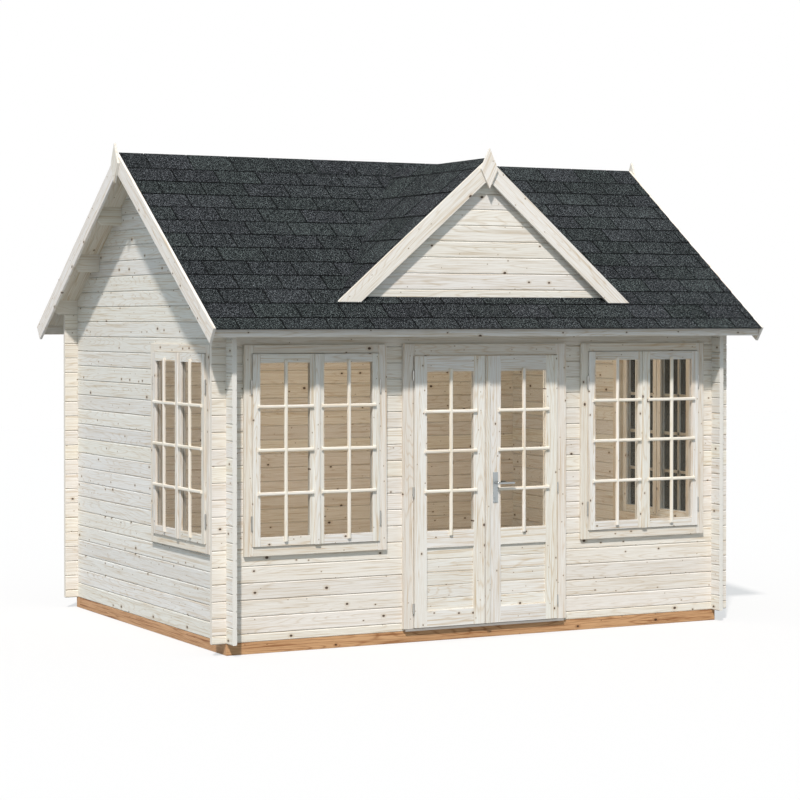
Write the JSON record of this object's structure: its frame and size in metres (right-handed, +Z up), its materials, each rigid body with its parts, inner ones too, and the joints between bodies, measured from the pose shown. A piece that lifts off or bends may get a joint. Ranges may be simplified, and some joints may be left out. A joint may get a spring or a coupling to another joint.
{
  "type": "log cabin",
  "caption": "Small timber log cabin with interlocking log walls, a glazed double door, casement windows, a shingled gable roof and a decorative dormer over the door.",
  "frame": {"origin": "on the ground under the middle of the cabin, at the underside of the foundation beams", "axes": "+Z up, +X along the front to the right as seen from outside, -Y out of the front door"},
  "size_m": [4.4772, 3.585, 3.5419],
  "materials": {
    "treated_wood": "pressure-treated softwood, sawn",
    "floor_wood": "planed softwood boards",
    "log_wood": "planed, untreated spruce with small knots",
    "frame_wood": "planed, untreated spruce",
    "joinery_wood": "planed, untreated spruce",
    "window_glass": "clear float glass",
    "threshold_metal": "mill-finish threshold plate",
    "hinge_steel": "zinc-plated",
    "handle_steel": "satin",
    "roof_wood": "planed softwood boards",
    "shingles": "anthracite bitumen shingles with mineral granules",
    "trim_wood": "planed, untreated spruce"
  },
  "bodies": {
    "cabin": {"foundation_beams": "treated_wood", "floor_joists": "treated_wood", "floor_boards": "floor_wood", "front_wall": "log_wood", "rear_wall": "log_wood", "left_wall": "log_wood", "right_wall": "log_wood", "left_gable": "log_wood", "right_gable": "log_wood", "front_left_window_frame": "frame_wood", "front_right_window_frame": "frame_wood", "left_window_frame": "frame_wood", "right_window_frame": "frame_wood", "door_frame": "frame_wood", "front_left_window_sashes": "joinery_wood", "front_right_window_sashes": "joinery_wood", "left_window_sashes": "joinery_wood", "right_window_sashes": "joinery_wood", "front_window_glass": "window_glass", "gable_window_glass": "window_glass", "door_threshold": "threshold_metal", "frame_hinges": "hinge_steel", "purlins": "roof_wood", "front_roof_boards": "roof_wood", "rear_roof_boards": "roof_wood", "dormer_roof_boards": "roof_wood", "front_roof_covering": "shingles", "rear_roof_covering": "shingles", "dormer_covering": "shingles", "eaves_boards": "trim_wood", "gable_bargeboards": "trim_wood", "dormer_gable": "trim_wood", "dormer_bargeboards": "trim_wood", "finials": "trim_wood"},
    "left_door": {"left_door_leaf": "joinery_wood", "left_door_panel": "joinery_wood", "left_door_glass": "window_glass", "left_leaf_hinges": "hinge_steel"},
    "right_door": {"right_door_leaf": "joinery_wood", "right_door_panel": "joinery_wood", "right_door_glass": "window_glass", "door_cover_strip": "joinery_wood", "right_leaf_hinges": "hinge_steel", "handle_plates": "handle_steel"},
    "lever": {"door_lever": "handle_steel"}
  },
  "joints": [
    {"name": "left_door_hinge", "type": "hinge", "parent": "cabin", "child": "left_door", "pos_m": [-0.59, -1.5188, 1.055], "axis": [0, 0, -1], "range_deg": [0, 135]},
    {"name": "right_door_hinge", "type": "hinge", "parent": "cabin", "child": "right_door", "pos_m": [0.59, -1.5188, 1.055], "axis": [0, 0, 1], "range_deg": [0, 135]},
    {"name": "lever_turn", "type": "hinge", "parent": "right_door", "child": "lever", "pos_m": [0.0655, -1.5275, 1.1], "axis": [0, 1, 0], "range_deg": [0, 45], "stiffness_Nm_per_rad": 1.5, "springref_deg": -28.65}
  ]
}
